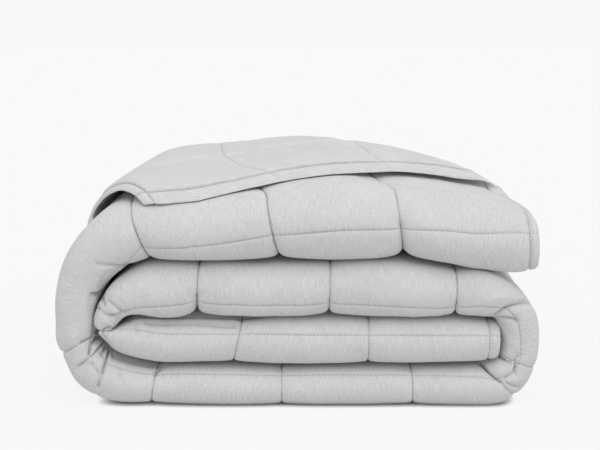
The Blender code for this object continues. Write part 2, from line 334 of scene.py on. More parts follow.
# ---- the stretches of strip that are built as separate meshes, cut on stitch lines ----
# columns: name, first and last edge (0 and 17 are the cloth's ends and 1 to 16 the stitch lines),
# step across the outer ply and step across the middle of the front (mm)
STRETCHES = (
    ("second_layer", 0, 3, 14.0, 3.2),
    ("small_fold_left", 3, 5, 12.0, 1.7),
    ("third_layer", 5, 7, 14.0, 3.2),
    ("fold_right", 7, 9, 12.0, 1.7),
    ("bottom_layer", 9, 11, 14.0, 3.2),
    ("large_fold_left", 11, 13, 10.0, 1.7),
    ("top_layer_left", 13, 14, 3.8, 3.2),
    ("top_layer_right", 14, 17, 3.8, 3.2),
)
FOLD_STEP, RUN_STEP = 1.7, 4.2           # mm along the strip, in the side folds and between them
FRONT_STEP, HIDDEN_STEP, TURN_STEP = 3.2, 30.0, 6.0    # mm across: beside the middle, inside, small turns
FRONT_BAND, FRONT_MIDDLE = (0.500, 0.690), (0.575, 0.650)      # w of the rounded front and of its middle
TURN_HALF = 0.030                        # w on both sides of a small turn's middle
SEAM_OFFSETS = (0.9, 2.0, 3.6, 5.6)      # mm on both sides of a stitch line
HEM_OFFSETS = (0.5, 1.4, 3.0, 5.0, 8.0, 11.0, 12.2)   # mm in from the hem edge
LEAST_STEP = 0.2                         # mm

# ---- the stitches made of thread ----
FRONT_ROW = 4                            # the lengthwise row that lies on the front, counted from the hem
HEM_SECOND_ROW = 0.0034                  # from the first row of hem stitching out to the second
FLAP_SEEN = 0.430                        # length of the left hem's row that shows on the flap
FLAP_ROW_LESS = 0.25                     # share by which each row further in is shorter
FLAP_HEM_SHORT = 0.070                   # the front hem's row ends this far before the roll
THREAD_SHARE, THREAD_SIDES = 0.72, 5     # share of a stitch's length that shows, and sides of the thread
# rings of a bead: place as a share of its half length, size and height as shares of the thread's radius
BEAD_RINGS = ((-0.7, 0.8, 0.3), (0.0, 1.0, 0.9), (0.7, 0.8, 0.3))

# ---- the woven linen's pattern (mm) ----
WEFT_SLUB, WARP_SLUB = (11.0, 0.9), (4.0, 1.1)         # length and width
CLOUD, FIBRES = (60.0, 45.0), (3.0, 3.0)
WEFT_SHARE, CLOUD_SHARE, FIBRE_SHARE = 1.4, 0.5, 0.5
TONE_LOW, TONE_HIGH = 1.00, 1.90         # noise sums of the darkest and the lightest yarn
NOISE_ROUGHNESS, YARN_DETAIL, CLOUD_DETAIL, FIBRE_DETAIL = 0.55, 2.0, 3.0, 4.0
# the needle holes that get painted shade: half their width across the line and half their length along it
# (mm); then the strength and reach (mm) of the painted shade along the hem stitching
HOLE_HALF_WIDTH, HOLE_HALF_LENGTH = 0.40, 0.65
HEM_SHADE, HEM_SHADE_REACH = 0.60, 1.9
WEAVE_STRENGTH, WEAVE_HEIGHT = 0.30, 0.6

# ---- the studio ----
FLOOR_SIDES, FLOOR_RADIUS = 96, 30.0
CONTACT_SAMPLES, CONTACT_REACH, CONTACT_OPEN = 8, 0.012, 0.6     # the painted shadow on the floor right under the quilt's edge
KEY_FROM, KEY_SPREAD = Vector((0.20, -0.52, 1.0)), math.radians(75)
FILM_WIDTH = 36.0                        # mm


def ease(value):
    """Smooth step from 0 to 1."""
    value = np.clip(value, 0.0, 1.0)
    return value * value * (3.0 - 2.0 * value)


def between(low, high, share):
    """The value a share of the way from low to high."""
    return low + (high - low) * share


def value_noise(x, y, seed):
    """Smooth repeatable noise from -1 to 1 on a plane with one random value per unit square."""
    def corner(i, j):
        """The value at a corner of a unit square."""
        mixed = np.sin(i * HASH_S + j * HASH_W + seed * HASH_SEED) * HASH_SPREAD
        return 2.0 * np.modf(np.abs(mixed))[0] - 1.0
    i, j = np.floor(x), np.floor(y)
    u, v = ease(x - i), ease(y - j)
    low = corner(i, j) * (1 - u) + corner(i + 1, j) * u
    high = corner(i, j + 1) * (1 - u) + corner(i + 1, j + 1) * u
    return low * (1 - v) + high * v


def rungs_at(s):
    """Inner and outer point of the strip at each s, by a smooth curve through RUNGS."""
    keys = RUNGS[:, 0]
    s = np.clip(s, keys[0], keys[-1])
    here = np.clip(np.searchsorted(keys, s, side="right") - 1, 0, len(keys) - 2)
    there = here + 1
    before = np.maximum(here - 1, 0)
    beyond = np.minimum(there + 1, len(keys) - 1)
    span = (keys[there] - keys[here])[:, None]
    f = (s - keys[here])[:, None] / span
    slope_here = (RUNGS[there] - RUNGS[before]) / (keys[there] - keys[before])[:, None]
    slope_there = (RUNGS[beyond] - RUNGS[here]) / (keys[beyond] - keys[here])[:, None]
    points = ((2 * f**3 - 3 * f**2 + 1) * RUNGS[here] + (f**3 - 2 * f**2 + f) * span * slope_here
              + (-2 * f**3 + 3 * f**2) * RUNGS[there] + (f**3 - f**2) * span * slope_there)
    return points[:, 1:]


def front_at(s):
    """How the front is rounded at each s: the two powers, the slip in metres and the flushness."""
    outer_power, inner_power, slip, flush = (np.interp(s / MM, FRONT[:, 0], column)
                                             for column in FRONT.T[1:])
    return outer_power, inner_power, slip * MM, flush


def strip_thickness(s):
    """Distance from the strip's inner side to its outer side at each s."""
    points = rungs_at(s)
    return np.hypot(points[:, 2] - points[:, 0], points[:, 3] - points[:, 1])


def quarter_arc(half_depth, half_height):
    """Length of a quarter of an ellipse, near enough for a cloth turn."""
    return math.pi / 2 * np.sqrt((half_depth**2 + half_height**2) / 2)


def turn(fraction, centre_y, reach, low, high):
    """Points and directions on a half ellipse from high to low level."""
    angle = math.pi * np.clip(fraction, 0.0, 1.0)
    middle, half = (low + high) / 2, (high - low) / 2
    dy, dh = reach * np.cos(angle), -half * np.sin(angle)
    size = np.hypot(dy, dh)
    return centre_y + reach * np.sin(angle), middle + half * np.cos(angle), dy / size, dh / size


def running_total(values):
    """Running integral of each row over an arc of length 1."""
    steps = (values[:, 1:] + values[:, :-1]) / 2 / (values.shape[1] - 1)
    return np.concatenate((np.zeros((len(values), 1)), np.cumsum(steps, axis=1)), axis=1)


# a quarter turn bends by (arc share) ** power of a right angle: power 1 is a round arc, a lower one
# bends near the ply and then stands flat, and a higher one slopes gently off the ply
POWERS = np.linspace(0.3, 3.0, 28)
ARC_SHARES = np.linspace(0.0, 1.0, 97)
BENDS = math.pi / 2 * ARC_SHARES[None, :] ** POWERS[:, None]
RUNS, DROPS = running_total(np.cos(BENDS)), running_total(np.sin(BENDS))
TABLE_MARGIN = 0.001       # keeps a look-up inside the last row and column


def look_up(table, power, share):
    """Value of a RUNS or DROPS table between its rows and columns."""
    last_row, last_column = len(POWERS) - 1 - TABLE_MARGIN, len(ARC_SHARES) - 1 - TABLE_MARGIN
    row = np.clip((power - POWERS[0]) / (POWERS[1] - POWERS[0]), 0, last_row)
    column = np.clip(share, 0.0, 1.0) * last_column
    i, j = row.astype(int), column.astype(int)
    u, v = row - i, column - j
    return ((table[i, j] * (1 - v) + table[i, j + 1] * v) * (1 - u)
            + (table[i + 1, j] * (1 - v) + table[i + 1, j + 1] * v) * u)


def slipped(s, w):
    """Place across the strip after the cloth is drawn round the front by its slip."""
    come_in = ease((w - SLIP_START) / (FRONT_TURN_W - SLIP_START))
    go_out = ease((SLIP_END - w) / (SLIP_END - FRONT_TURN_W))
    return w - front_at(s)[2] * come_in * go_out


def section(s, w, thick):
    """Centre line of the plies: depth, height and unit direction at each (s, w)."""
    outer_power, inner_power = front_at(s)[:2]
    w = slipped(s, w)
    top, second, third, bottom = (level * thick for level in (LEVEL_TOP, LEVEL_SECOND,
                                                              LEVEL_THIRD, LEVEL_BOTTOM))
    whole = np.ones_like(w)
    middle = thick / 2
    outer_arc = (top - middle) / look_up(DROPS, outer_power, whole)
    inner_arc = (middle - bottom) / look_up(DROPS, inner_power, whole)
    outer_y = FRONT_Y + outer_arc * look_up(RUNS, outer_power, whole)
    inner_y = FRONT_Y + inner_arc * look_up(RUNS, inner_power, whole)
    outer_share = np.clip((w - FRONT_TURN_W + outer_arc) / outer_arc, 0, 1)
    inner_share = np.clip((FRONT_TURN_W + inner_arc - w) / inner_arc, 0, 1)
    outer_bend = math.pi / 2 * outer_share ** outer_power
    inner_bend = math.pi / 2 * inner_share ** inner_power
    small_reach = INNER_REACH * thick
    small_arc = quarter_arc(small_reach, (second - third) / 2)
    small_y = FRONT_Y + INNER_SET * thick + small_reach
    back_y = inner_y + (BACK_TURN_W - small_arc) - (FRONT_TURN_W + inner_arc)
    none = np.zeros_like(w)
    share = (w - BACK_TURN_W - small_arc) / (INNER_TURN_W - BACK_TURN_W - 2 * small_arc)
    runs = (
        (w < FRONT_TURN_W - outer_arc, (outer_y + FRONT_TURN_W - outer_arc - w, top, -whole, none)),
        (w < FRONT_TURN_W, (outer_y - outer_arc * look_up(RUNS, outer_power, outer_share),
                            top - outer_arc * look_up(DROPS, outer_power, outer_share),
                            -np.cos(outer_bend), -np.sin(outer_bend))),
        (w < FRONT_TURN_W + inner_arc, (inner_y - inner_arc * look_up(RUNS, inner_power, inner_share),
                                        bottom + inner_arc * look_up(DROPS, inner_power, inner_share),
                                        np.cos(inner_bend), -np.sin(inner_bend))),
        (w < BACK_TURN_W - small_arc, (inner_y + w - FRONT_TURN_W - inner_arc, bottom, whole, none)),
        (w < BACK_TURN_W + small_arc,
         turn((w - BACK_TURN_W + small_arc) / (2 * small_arc), back_y, small_reach, third, bottom)),
        (w < INNER_TURN_W - small_arc, (back_y + share * (small_y - back_y), third, -whole, none)),
        (w < INNER_TURN_W + small_arc,
         turn((w - INNER_TURN_W + small_arc) / (2 * small_arc), small_y, -small_reach, second, third)),
        (whole > 0, (small_y + w - INNER_TURN_W - small_arc, second, whole, none)),
    )
    chosen = [run[0] for run in runs]
    return [np.select(chosen, [np.broadcast_to(run[1][part], w.shape) for run in runs])
            for part in range(4)]


def across_box(along, sizes):
    """Place between two stitch lines, from 0 to 1."""
    return np.mod((along - sizes.hem) / sizes.box, 1.0)


def line_distance(along, sizes):
    """Distance to the nearest stitch line."""
    across = across_box(along, sizes)
    return np.minimum(across, 1.0 - across) * sizes.box


def edge_distance(s, w, sizes):
    """Distance to the nearest edge of the quilt."""
    return np.minimum(np.minimum(s, sizes.side - s), np.minimum(w, sizes.side - w))


def loft(s, w, sizes):
    """Share of the full thickness taken by the filling at (s, w)."""
    rise_s = np.sin(math.pi * across_box(s, sizes)) ** sizes.pillow
    rise_w = np.sin(math.pi * across_box(w, sizes)) ** sizes.pillow
    # round the side folds the crosswise stitching is pulled tight as well
    for low, high in SIDE_FOLDS:
        bent = SIDE_TIGHT * ease(1.0 - np.abs(s - (low + high) / 2) / (high - low) * SIDE_TIGHT_FADE)
        rise_s = between(rise_s, 1.0, bent)
    # where the strip turns at the front, the cloth is pulled tight along the turn
    tight = ease(1.0 - np.abs(w - FRONT_TURN_W) / FRONT_TIGHT_REACH)
    rise_w = between(rise_w, 1.0, front_at(s)[3] * tight)
    full = between(sizes.seam_loft, 1.0, rise_s * rise_w)
    band = edge_distance(s, w, sizes)
    # the hem band: thin at its stitching, a little full in the middle, round at its edge
    share = np.clip(band / sizes.hem, 0.0, 1.0)
    hem = sizes.hem_loft * between(HEM_FLAT, 1.0, np.sqrt(np.sin(math.pi * share)))
    edge = np.sqrt(1.0 - (1.0 - np.clip(band / (HEM_ROUND * sizes.hem), 0.0, 1.0)) ** 2)
    return np.where(band < sizes.hem, hem * between(HEM_EDGE, 1.0, edge), full)


def puckers(s, w, sizes):
    """Small gathers square to the stitch lines, and the soft unevenness of the filling (metres)."""
    s_mm, w_mm = s / MM, w / MM
    near_s = np.exp(-line_distance(s, sizes) / (GATHER_REACH * MM))
    near_w = np.exp(-line_distance(w, sizes) / (GATHER_REACH * MM))
    gathers = (value_noise(w_mm / GATHER_PITCH, s_mm / GATHER_LENGTH, 1) * near_s
               + value_noise(s_mm / GATHER_PITCH, w_mm / GATHER_LENGTH, 2) * near_w)
    soft = (value_noise(s_mm / LUMPS[0], w_mm / LUMPS[1], 3)
            + SMALL_LUMP_SHARE * value_noise(s_mm / SMALL_LUMPS[0], w_mm / SMALL_LUMPS[1], 4))
    return sizes.gather * gathers + sizes.uneven * soft


def creased(s, w):
    """Depth of the creases at (s, w), in metres: troughs count up, ridges count down."""
    deepest, highest = np.zeros_like(s), np.zeros_like(s)
    for crease in CREASES:
        s_start, w_start, s_end, w_end, depth, width = (value * MM for value in crease)
        reach = CREASE_REACH * width
        near = np.flatnonzero((s > min(s_start, s_end) - reach) & (s < max(s_start, s_end) + reach)
                              & (w > min(w_start, w_end) - reach) & (w < max(w_start, w_end) + reach))
        run_s, run_w = s_end - s_start, w_end - w_start
        off_s, off_w = s[near] - s_start, w[near] - w_start
        share = np.clip((off_s * run_s + off_w * run_w) / max(run_s**2 + run_w**2, MM**2), 0, 1)
        away = np.hypot(off_s - share * run_s, off_w - share * run_w)
        broad, narrow = np.exp(-away / (CREASE_BROAD * width)), np.exp(-away / (CREASE_NARROW * width))
        dent = depth * between(narrow, broad, CREASE_BROAD_SHARE)
        deepest[near] = np.maximum(deepest[near], dent)
        highest[near] = np.minimum(highest[near], dent)
    return deepest + highest


def past_roll(s, w, sizes):
    """Distance past the diagonal roll line: more than 0 on the flap only, which is in the top ply."""
    past = (s - sizes.side) * ROLL_NORMAL[0] + (w - ROLL_W) * ROLL_NORMAL[1]
    return np.where(w > FRONT_TURN_W, -1.0, past)


def half_ply(s, sizes):
    """Half the thickness of a full ply at s."""
    return (strip_thickness(s) / PLIES - 2 * sizes.ply_gap) / 2


def flap_loft(fill, band, near_seam, sizes):
    """Share of the flap's thickness taken by its filling, and the narrow grooves at its stitching."""
    plump = np.clip((fill - sizes.seam_loft) / (1 - sizes.seam_loft), 0, 1)
    inland = ease((band - sizes.hem) / FLAP_HEM_REACH)
    floor = between(FLAP_HEM_FLOOR, FLAP_FLOOR, inland)
    # the hem is fullest at its stitching and thins to its edge
    inset = np.clip(band / sizes.hem, 0, 1)
    hem = FLAP_HEM_FLOOR * np.sqrt(inset * (2 - inset))
    groove = between(FLAP_HEM_GROOVE, FLAP_GROOVE, inland) * np.exp(-near_seam / FLAP_GROOVE_REACH)
    return np.where(band < sizes.hem, hem, between(floor, 1, plump)), groove


def flap_lift(s, w, sizes):
    """How far the flap stands off what it lies on, near its free edges (metres)."""
    along = sizes.side - s
    left = (LEFT_LIFT * ease((LEFT_LIFT_REACH - w) / LEFT_LIFT_REACH)
            * ease((along - LEFT_LIFT_START) / LEFT_LIFT_RISE)
            * ease((LEFT_LIFT_END - along) / LEFT_LIFT_FALL))
    # the hems hang down from their stitching, which stands off the cloth under it
    past_front_hem, past_left_hem = np.maximum(along - sizes.hem, 0), np.maximum(w - sizes.hem, 0)
    front_hem = FRONT_HEM_LIFT * ease(along / sizes.hem) * np.exp(-past_front_hem / HEM_LIFT_REACH)
    left_hem = LEFT_HEM_LIFT * ease(w / sizes.hem) * np.exp(-past_left_hem / HEM_LIFT_REACH)
    # past its second box the flap bridges the hollow in front of the crown
    bridge = BRIDGE_LIFT * ease((w - BRIDGE_START) / BRIDGE_RUN) * np.exp(-along / BRIDGE_REACH)
    return left + np.maximum(front_hem + bridge, left_hem)


def crowned(x, y, z):
    """Draw the left folds in towards the back, raise the crown, and stand the quilt in the frame."""
    x = x + TAPER * np.maximum(TAPER_X - x, 0) * np.maximum(y - TAPER_Y, 0)
    low_right = ease((x - SHOULDER_X) / SHOULDER_RUN) * (1 - ease((z - SHOULDER_Z) / SHOULDER_RISE))
    share = (1 - SHOULDER * low_right) * ease((x - CROWN_START) / CROWN_RUN)
    z = z * (1 + CROWN * share * (1 - (y / CROWN_HALF) ** 2))
    return np.column_stack((x + CENTRE_X, y + CENTRE_Y, np.maximum(z, 0.0)))


def half_thickness(s, w, fill, flap_fill, angle, share, sizes):
    """Half the thickness of the cloth at (s, w), from the strip over the roll to the flap."""
    near_turn = np.minimum(np.abs(w - BACK_TURN_W), np.abs(w - INNER_TURN_W))
    full = half_ply(s, sizes) * between(CRUSH, 1, ease(near_turn / CRUSH_RUN))
    half = full * fill * (1 - share) + FLAP_HALF * flap_fill * share
    half = half * (1 - ROLL_CRUSH * np.sin(angle))
    fade = np.clip(fill * PUCKER_RISE, 0, 1) * np.clip(full / PUCKER_PLY, PUCKER_LEAST, 1.0)
    return np.maximum(half + puckers(s, w, sizes) * fade, LEAST_HALF)


def turned_over(s, w, past, angle, share, flap_fill, sizes):
    """Take the corner over the roll: its new (s, w), and how far it lies above the ply that is there."""
    shift = ROLL_ARC / math.pi * np.sin(angle) - np.maximum(past - ROLL_ARC, 0) - np.maximum(past, 0)
    beyond = FAN_REACH * (1 - np.exp(-(sizes.side - s) / FAN_REACH))
    fan = FAN * np.clip((FAN_W - w) / FAN_W, 0, 1) * beyond * ease((past - ROLL_ARC) / FAN_EASE)
    hang = np.interp(w / MM, *FLAP_HANG.T) * MM * np.exp((s - sizes.side) / FLAP_HANG_RUN)
    lifted = flap_lift(s, w, sizes) * share
    s = s + shift * ROLL_NORMAL[0] - fan
    w = w + shift * ROLL_NORMAL[1] + hang * share
    # the flap lies on the boxes under it and hangs a little into their seams
    below = half_ply(s, sizes) * between(FLAP_REST, 1, loft(s, w, sizes))
    rise = below + FLAP_HALF * between(1, flap_fill, share) + FLAP_GAP
    return s, w, rise * (1 - np.cos(angle)) / 2 + lifted


def place(s, w, face, sizes, above=0.0):
    """Points of the quilt's face (+1 right side, -1 wrong side) at (s, w), and above it."""
    near_seam = np.minimum(line_distance(s, sizes), line_distance(w, sizes))
    band = edge_distance(s, w, sizes)
    dent = creased(s, slipped(s, w))
    past = past_roll(s, w, sizes)
    angle = math.pi * np.clip(past / ROLL_ARC, 0, 1)
    share = ease(past / ROLL_ARC)

    # the cloth's fullness, and its way over the roll
    fill = loft(s, w, sizes)
    flap_fill, flap_groove = flap_loft(fill, band, near_seam, sizes)
    rolled = (ROLL_FULL * ease(1 - np.abs(past - ROLL_ARC / 2) / ROLL_REACH)
              * ease((band - sizes.hem) / ROLL_HEM_REACH))
    fill, flap_fill = between(fill, 1, rolled), between(flap_fill, 1, rolled)
    half = half_thickness(s, w, fill, flap_fill - flap_groove, angle, share, sizes) + above
    s, w, lift = turned_over(s, w, past, angle, share, flap_fill, sizes)
    slide = SLIDE * ease((SLIDE_W_START - w) / SLIDE_W_RUN) * ease((s - SLIDE_S_START) / SLIDE_S_RUN)
    s = s - np.where(w < FRONT_TURN_W, slide, 0.0)
    s = s - half * face * np.sin(angle) * ROLL_NORMAL[0]
    w = w - half * face * np.sin(angle) * ROLL_NORMAL[1]

    # into the section of the plies, then onto the spiral of the strip
    thick = strip_thickness(s)
    y, level, dy, dh = section(s, w, thick)
    groove = SEAM_GROOVE * np.exp(-near_seam / SEAM_GROOVE_REACH) * (1 - share)
    out = lift + half * face * np.cos(angle) - (dent + groove) * np.cos(angle)
    y = y + out * dh
    level = (level - out * dy) / thick
    inner_x, inner_z, outer_x, outer_z = rungs_at(s).T
    return crowned(between(inner_x, outer_x, level), y, between(inner_z, outer_z, level))


def stitch_lines(sizes):
    """Places of the stitch lines along a side of the quilt."""
    boxes = int(round((sizes.side - 2 * sizes.hem) / sizes.box))
    return [sizes.hem + sizes.box * number for number in range(boxes + 1)]


def spread(start, stop, step):
    """Evenly spaced values from start towards stop, without stop, about one step apart."""
    count = max(1, int(round((stop - start) / step)))
    return list(start + (stop - start) * np.arange(count) / count)


def lines_across(zones, sizes):
    """Grid lines over zones of (start, stop, step, offsets), with closer lines beside the stitching."""
    marks = {zones[0][0], zones[-1][1]}
    seams = stitch_lines(sizes)
    for start, stop, _, offsets in zones:
        marks.add(start)
        beside = {side * offset * MM for offset in (0.0,) + offsets for side in (-1, 1)}
        marks |= {seam + off for seam in seams for off in beside if start <= seam + off <= stop}
    edges = {side for offset in HEM_OFFSETS for side in (offset * MM, sizes.side - offset * MM)}
    marks |= {edge for edge in edges if zones[0][0] < edge < zones[-1][1]}
    marks = sorted(marks)
    filled = []
    for here, there in zip(marks, marks[1:]):
        if there - here > LEAST_STEP * MM:
            step = [zone[2] for zone in zones if zone[0] <= (here + there) / 2 <= zone[1]][0]
            filled += spread(here, there, step)
    return np.array(filled + [marks[-1]])


def lengthwise_zones(start, stop):
    """Zones of s for lines_across, with close lines in the side folds."""
    cuts = sorted({start, stop} | {edge for fold in SIDE_FOLDS for edge in fold if start < edge < stop})
    zones = []
    for here, there in zip(cuts, cuts[1:]):
        folded = any(low <= here < high for low, high in SIDE_FOLDS)
        zones.append((here, there, (FOLD_STEP if folded else RUN_STEP) * MM, SEAM_OFFSETS))
    return zones


def crosswise_zones(ply_step, middle_step, sizes):
    """Zones of w for lines_across, with few lines where the plies are hidden."""
    edges = (0.0, FRONT_BAND[0], FRONT_MIDDLE[0], FRONT_MIDDLE[1], FRONT_BAND[1],
             BACK_TURN_W - TURN_HALF, BACK_TURN_W + TURN_HALF,
             INNER_TURN_W - TURN_HALF, INNER_TURN_W + TURN_HALF, sizes.side)
    shown = [(step * MM, SEAM_OFFSETS) for step in (ply_step, FRONT_STEP, middle_step, FRONT_STEP)]
    hidden = [(step * MM, ()) for step in (HIDDEN_STEP, TURN_STEP, HIDDEN_STEP, TURN_STEP, HIDDEN_STEP)]
    return [(here, there, *step) for here, there, step in zip(edges, edges[1:], shown + hidden)]


def net_mesh(name, s_lines, w_lines, sizes):
    """A closed slab of cloth on a net of s and w lines, with (s, w) in metres as its UV map."""
    rows, columns = len(s_lines), len(w_lines)
    s, w = (grid.ravel() for grid in np.meshgrid(s_lines, w_lines, indexing="ij"))
    points = np.vstack([place(s, w, face, sizes) for face in (1, -1)])
    index = np.arange(rows * columns).reshape(rows, columns)
    upper = np.stack((index[:-1, :-1], index[:-1, 1:], index[1:, 1:], index[1:, :-1]), -1).reshape(-1, 4)
    lower = upper[:, ::-1] + rows * columns
    rim = np.concatenate((index[:-1, 0], index[-1, :-1], index[:0:-1, -1], index[0, :0:-1]))
    following = np.roll(rim, -1)
    sides = np.stack((rim, following, following + rows * columns, rim + rows * columns), -1)
    faces = np.concatenate((upper, lower, sides))
    mesh = bpy.data.meshes.new(name)
    mesh.from_pydata(points, [], faces.tolist())
    flat = np.column_stack((np.tile(s, 2), np.tile(w, 2)))
    layer = mesh.uv_layers.new(name="cloth")
    layer.data.foreach_set("uv", flat[faces.ravel()].astype(np.float32).ravel())
    mesh.shade_smooth()
    return mesh


def stitch_mesh(name, runs, sizes):
    """Sewing thread lying in the stitch lines: one short bead a stitch along every run.

    A run is (direction, line, start, stop, face): "s" runs along s at w = line, "w" along w at s = line.
    """
    half, radius = sizes.stitch * THREAD_SHARE / 2, sizes.thread / 2
    centres, faces_seen, directions = [], [], []
    for direction, line, start, stop, face in runs:
        along = np.arange(start + sizes.stitch / 2, stop, sizes.stitch)
        across = np.full_like(along, line)
        centres.append(np.column_stack((along, across) if direction == "s" else (across, along)))
        directions.append(np.tile((1.0, 0.0) if direction == "s" else (0.0, 1.0), (len(along), 1)))
        faces_seen.append(np.full(len(along), float(face)))
    centres, directions, face = (np.concatenate(parts) for parts in (centres, directions, faces_seen))

    def lifted(share, above):
        """The points of all stitches at a share of their half length and a height off the cloth."""
        at = centres + directions * half * share
        return place(at[:, 0], at[:, 1], face, sizes, above)

    up = lifted(0.0, MM) - lifted(0.0, 0.0)
    up /= np.linalg.norm(up, axis=1, keepdims=True)
    tangent = lifted(1.0, 0.0) - lifted(-1.0, 0.0)
    side = np.cross(tangent, up)
    side /= np.linalg.norm(side, axis=1, keepdims=True)
    rings = [lifted(-1.0, -radius)[:, None]]
    turn_angles = np.arange(THREAD_SIDES) * 2 * math.pi / THREAD_SIDES
    for share, size, height in BEAD_RINGS:
        ring = (np.cos(turn_angles)[None, :, None] * side[:, None]
                + np.sin(turn_angles)[None, :, None] * up[:, None])
        rings.append(lifted(share, radius * height)[:, None] + radius * size * ring)
    rings.append(lifted(1.0, -radius)[:, None])
    points = np.concatenate(rings, axis=1)
    count, last = THREAD_SIDES, points.shape[1] - 1
    bead = []
    for k in range(count):
        following = (k + 1) % count
        bead += [(0, 1 + following, 1 + k), (last, 1 + 2 * count + k, 1 + 2 * count + following)]
        for ring in (0, 1):
            low, high = 1 + ring * count, 1 + (ring + 1) * count
            bead += [(low + k, low + following, high + following), (low + k, high + following, high + k)]
    faces = (np.arange(len(points))[:, None, None] * points.shape[1] + np.array(bead)[None]).reshape(-1, 3)
    mesh = bpy.data.meshes.new(name)
    mesh.from_pydata(points.reshape(-1, 3), [], faces.tolist())
    mesh.shade_smooth()
    return mesh


def add_piece(mesh, collection_name, material):
    """Link a mesh to a collection as a piece that rides on the quilt's body."""
    mesh.materials.append(material)
    piece = bpy.data.objects.new(mesh.name, mesh)
    folder = bpy.data.collections.get(collection_name) or bpy.data.collections.new(collection_name)
    if folder.name not in bpy.context.scene.collection.children:
        bpy.context.scene.collection.children.link(folder)
    folder.objects.link(piece)
    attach(piece, "root")
    return piece


# ---- materials ------------------------------------------------------------------------------

SRGB_KNEE, SRGB_SLOPE, SRGB_OFFSET, SRGB_POWER = 0.04045, 12.92, 0.055, 2.4
MIX_A, MIX_B, MIX_RESULT = 6, 7, 2       # sockets of the two colours and of the mixed one on a colour mix


def linear(hex_colour):
    """sRGB hex such as d8d8d6 to a linear colour with alpha."""
    channels = [int(hex_colour[i:i + 2], 16) / 255 for i in (0, 2, 4)]
    return tuple(c / SRGB_SLOPE if c <= SRGB_KNEE
                 else ((c + SRGB_OFFSET) / (1 + SRGB_OFFSET)) ** SRGB_POWER
                 for c in channels) + (1.0,)


def add_node(tree, kind, settings=None, **links):
    """Add a node; settings go to its properties or inputs, links join sockets to its inputs.

    A link comes from a socket, or from a node's first output, and _0 is the link to input 0.
    """
    node = tree.nodes.new(kind)
    for key, value in (settings or {}).items():
        if isinstance(key, str) and hasattr(node, key):
            setattr(node, key, value)
        else:
            node.inputs[key].default_value = value
    for key, source in links.items():
        socket = source.outputs[0] if isinstance(source, bpy.types.Node) else source
        tree.links.new(socket, node.inputs[int(key[1:]) if key.startswith("_") else key])
    return node


def new_material(name, settings):
    """A material with the settings on its Principled BSDF, and its tree and shader."""
    material = bpy.data.materials.new(name)
    material.use_nodes = True
    shader = material.node_tree.nodes["Principled BSDF"]
    for key, value in settings.items():
        shader.inputs[key].default_value = value
    return material, material.node_tree, shader


def streaks(tree, cloth, size, turned, detail):
    """Noise of a length and width in mm, drawn out along s, or along w where it is turned."""
    along, across = (1 / (length * MM) for length in size)
    scale = (across, along, 1.0) if turned else (along, across, 1.0)
    mapping = add_node(tree, "ShaderNodeMapping", {"Scale": scale}, Vector=cloth)
    return add_node(tree, "ShaderNodeTexNoise",
                    {"Scale": 1.0, "Detail": detail, "Roughness": NOISE_ROUGHNESS}, Vector=mapping)


def hole_shade_mask(tree, along, beside, sizes):
    """1 at the needle holes of the stitch lines met along the first coordinate, where shade is painted
    into the colour, else 0.
    """
    start = add_node(tree, "ShaderNodeMath", {"operation": "SUBTRACT", 1: sizes.hem}, _0=along)
    off = add_node(tree, "ShaderNodeMath", {"operation": "PINGPONG", 1: sizes.box / 2}, _0=start)
    near = add_node(tree, "ShaderNodeMath", {"operation": "LESS_THAN", 1: HOLE_HALF_WIDTH * MM}, _0=off)
    step = add_node(tree, "ShaderNodeMath", {"operation": "PINGPONG", 1: sizes.stitch / 2}, _0=beside)
    hole = add_node(tree, "ShaderNodeMath", {"operation": "LESS_THAN", 1: HOLE_HALF_LENGTH * MM}, _0=step)
    return add_node(tree, "ShaderNodeMath", {"operation": "MULTIPLY"}, _0=near, _1=hole)


def off_hem(tree, along, sizes):
    """Distance to the nearer hem stitch line met along a coordinate."""
    start = add_node(tree, "ShaderNodeMath", {"operation": "SUBTRACT", 1: sizes.hem}, _0=along)
    return add_node(tree, "ShaderNodeMath",
                    {"operation": "PINGPONG", 1: sizes.side / 2 - sizes.hem}, _0=start)


